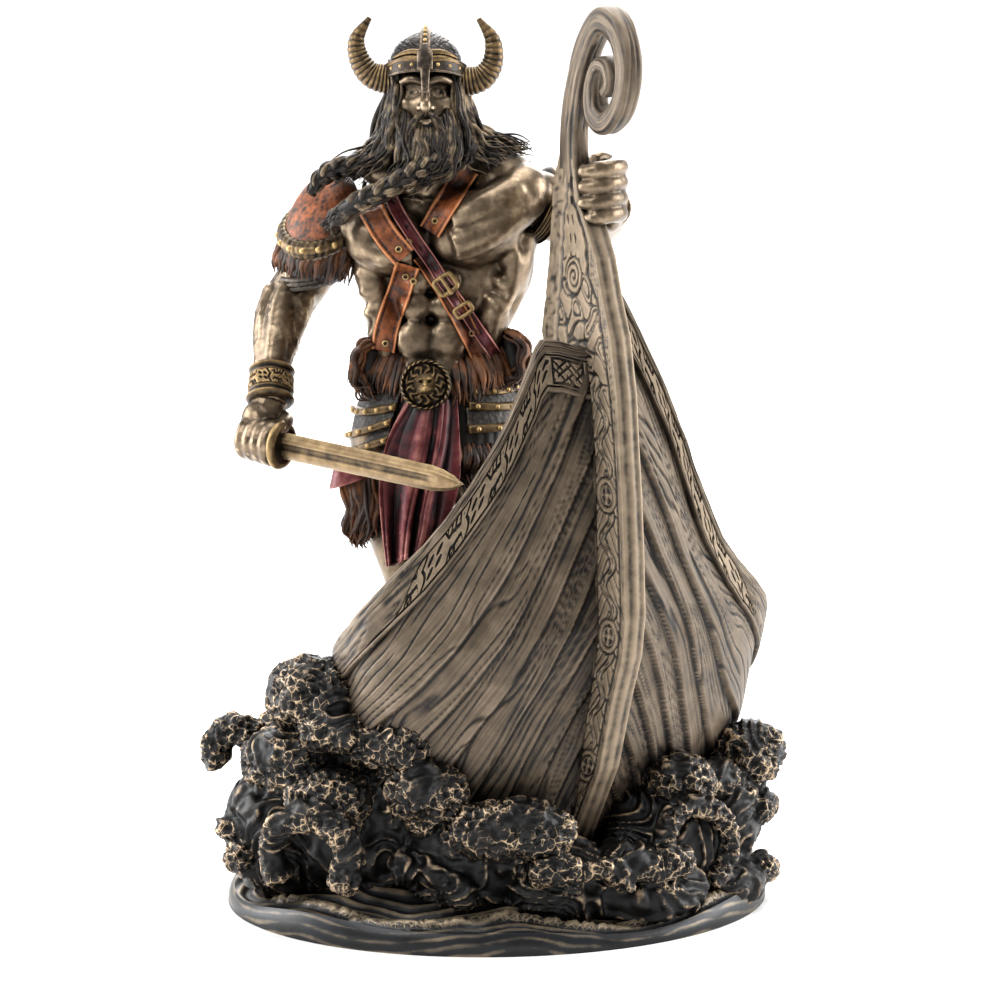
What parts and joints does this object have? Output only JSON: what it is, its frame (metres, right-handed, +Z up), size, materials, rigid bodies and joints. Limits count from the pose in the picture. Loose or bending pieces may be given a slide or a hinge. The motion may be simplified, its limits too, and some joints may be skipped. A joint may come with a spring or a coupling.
{
  "type": "viking warrior statue",
  "caption": "Cold-cast bronze figurine of a horned-helmet warrior with a short sword, standing in the bow of a longship over foaming waves.",
  "frame": {"origin": "middle of the flat underside, at the height of the surface that the statue stands on", "axes": "+Z up; -Y is the side that the warrior faces; +X is the warrior's left, where the ship's stem stands"},
  "size_m": [0.1811, 0.1509, 0.278],
  "materials": {
    "cold_cast_bronze": "cold-cast bronze with a dark patina left in the hollows, rubbed bright on the high places, with tinted leather, cloth and water"
  },
  "bodies": {
    "root": {"viking_statue": "cold_cast_bronze"}
  },
  "joints": []
}
